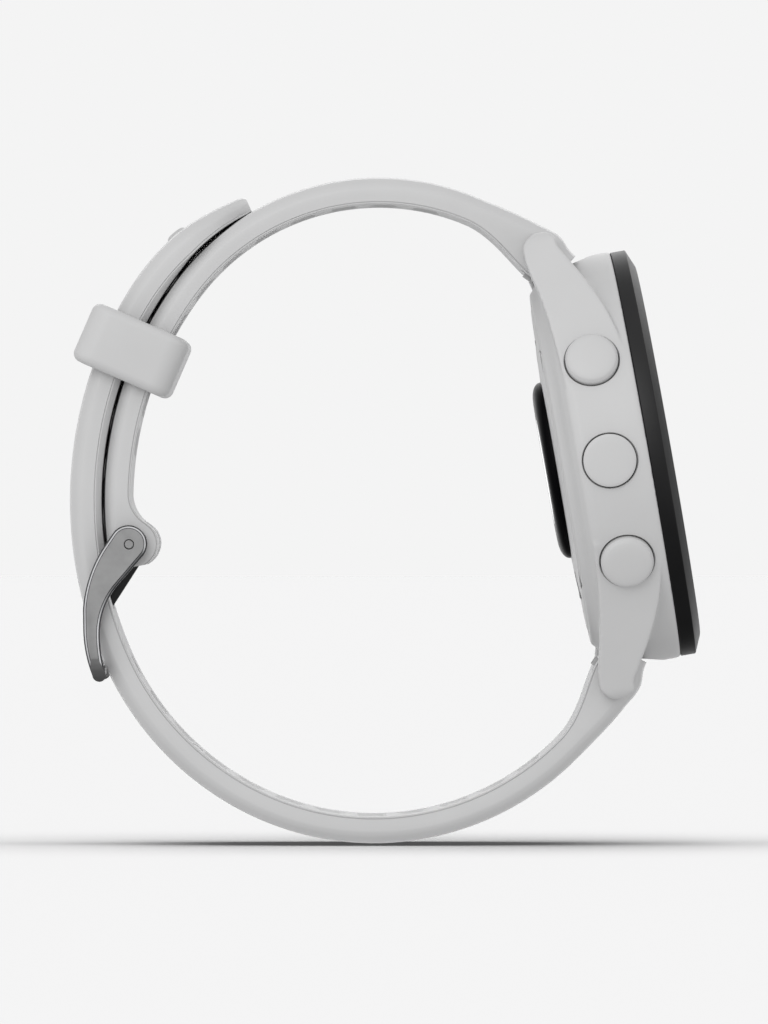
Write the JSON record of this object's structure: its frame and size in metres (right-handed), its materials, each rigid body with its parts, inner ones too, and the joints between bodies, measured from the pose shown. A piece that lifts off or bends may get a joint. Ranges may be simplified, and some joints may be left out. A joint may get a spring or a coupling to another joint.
{
  "type": "gps running watch",
  "caption": "Round sports watch with side buttons, a rear optical sensor, quick-release lugs, and a silicone strap closed by buckle and keeper.",
  "frame": {"origin": "centre of the wrist opening, midway across the strap", "axes": "+Y across the strap, along the wrist, from the 9 o'clock side of the case to the 3 o'clock side; +Z along the longer side of the closed watch, towards the 12 o'clock end; +X towards the display, which faces +X tilted 10 degrees up"},
  "size_m": [0.0659, 0.0442, 0.0695],
  "materials": {
    "case_plastic": "fibre-reinforced polymer, fine matte texture, light warm grey",
    "strap_silicone": "silicone, soft matte, light grey",
    "bezel_black": "satin black",
    "cover_glass": "polished black chemically strengthened glass",
    "display": "unlit display panel",
    "gloss_black": "glossy black",
    "seal_rubber": "black silicone rubber",
    "stainless": "satin stainless steel",
    "buckle_metal": "gunmetal, satin with polished edges",
    "tongue_black": "black coated steel",
    "chassis_plastic": "dark glass-filled polymer",
    "board_green": "solder-masked circuit board",
    "battery_foil": "lithium polymer pouch foil",
    "gold": "gold plated",
    "flex_amber": "polyimide flexible circuit"
  },
  "bodies": {
    "case": {"case_middle": "case_plastic", "rear_cover": "case_plastic", "bezel": "bezel_black", "display_glass": "cover_glass", "display_module": "display", "display_gasket": "seal_rubber", "display_flex": "flex_amber", "gps_antenna": "gold", "chassis_frame": "chassis_plastic", "main_board": "board_green", "shield_can": "stainless", "battery": "battery_foil", "vibration_motor": "stainless", "piezo_buzzer": "gold", "sensor_board": "board_green", "sensor_housing": "gloss_black", "sensor_window": "cover_glass", "rear_gasket": "seal_rubber", "charge_port": "gloss_black", "pressure_vent": "seal_rubber", "strap_buckle_side": "strap_silicone", "strap_hole_side": "strap_silicone", "upper_bar_tube": "stainless", "lower_bar_tube": "stainless", "charge_contact_1": "gold", "rear_screw_1": "stainless", "charge_contact_2": "gold", "rear_screw_2": "stainless", "charge_contact_3": "gold", "rear_screw_3": "stainless", "charge_contact_4": "gold", "rear_screw_4": "stainless", "light_button_seal": "seal_rubber", "light_button_switch": "chassis_plastic", "up_button_seal": "seal_rubber", "up_button_switch": "chassis_plastic", "down_button_seal": "seal_rubber", "down_button_switch": "chassis_plastic", "start_stop_button_seal": "seal_rubber", "start_stop_button_switch": "chassis_plastic", "back_button_seal": "seal_rubber", "back_button_switch": "chassis_plastic"},
    "light_button": {"light_button_cap": "case_plastic", "light_button_clip": "stainless"},
    "up_button": {"up_button_cap": "case_plastic", "up_button_clip": "stainless"},
    "down_button": {"down_button_cap": "case_plastic", "down_button_clip": "stainless"},
    "start_stop_button": {"start_stop_button_cap": "case_plastic", "start_stop_button_clip": "stainless"},
    "back_button": {"back_button_cap": "case_plastic", "back_button_clip": "stainless"},
    "keeper": {"keeper_loop": "strap_silicone"},
    "buckle": {"buckle_frame": "buckle_metal", "buckle_pin": "stainless"},
    "tongue": {"buckle_tongue": "tongue_black"},
    "upper_lever": {"upper_bar_lever": "stainless"},
    "lower_lever": {"lower_bar_lever": "stainless"}
  },
  "joints": [
    {"name": "light_press", "type": "slide", "parent": "case", "child": "light_button", "axis": [0.0678, 0.9205, -0.3848], "range_m": [0, 0.0007], "stiffness_N_per_m": 1500, "springref_m": -0.0006},
    {"name": "up_press", "type": "slide", "parent": "case", "child": "up_button", "axis": [0, 1, 0], "range_m": [0, 0.0007], "stiffness_N_per_m": 1500, "springref_m": -0.0006},
    {"name": "down_press", "type": "slide", "parent": "case", "child": "down_button", "axis": [-0.0678, 0.9205, 0.3848], "range_m": [0, 0.0007], "stiffness_N_per_m": 1500, "springref_m": -0.0006},
    {"name": "start_stop_press", "type": "slide", "parent": "case", "child": "start_stop_button", "axis": [0.0678, -0.9205, -0.3848], "range_m": [0, 0.0007], "stiffness_N_per_m": 1500, "springref_m": -0.0006},
    {"name": "back_press", "type": "slide", "parent": "case", "child": "back_button", "axis": [-0.0678, -0.9205, 0.3848], "range_m": [0, 0.0007], "stiffness_N_per_m": 1500, "springref_m": -0.0006},
    {"name": "keeper_slide", "type": "hinge", "parent": "case", "child": "keeper", "pos_m": [0.01419, 0, 0.00124], "axis": [0, -1, 0], "range_deg": [-6, 14]},
    {"name": "buckle_swing", "type": "hinge", "parent": "case", "child": "buckle", "pos_m": [-0.02196, 0, -0.00337], "axis": [0, 1, 0], "range_deg": [0, 80]},
    {"name": "tongue_play", "type": "hinge", "parent": "case", "child": "tongue", "pos_m": [-0.02196, 0, -0.00337], "axis": [0, 1, 0], "range_deg": [0, 5]},
    {"name": "upper_lever_release", "type": "slide", "parent": "case", "child": "upper_lever", "axis": [0, 1, 0], "range_m": [0, 0.0012], "stiffness_N_per_m": 400, "springref_m": -0.0005},
    {"name": "lower_lever_release", "type": "slide", "parent": "case", "child": "lower_lever", "axis": [0, 1, 0], "range_m": [0, 0.0012], "stiffness_N_per_m": 400, "springref_m": -0.0005}
  ]
}
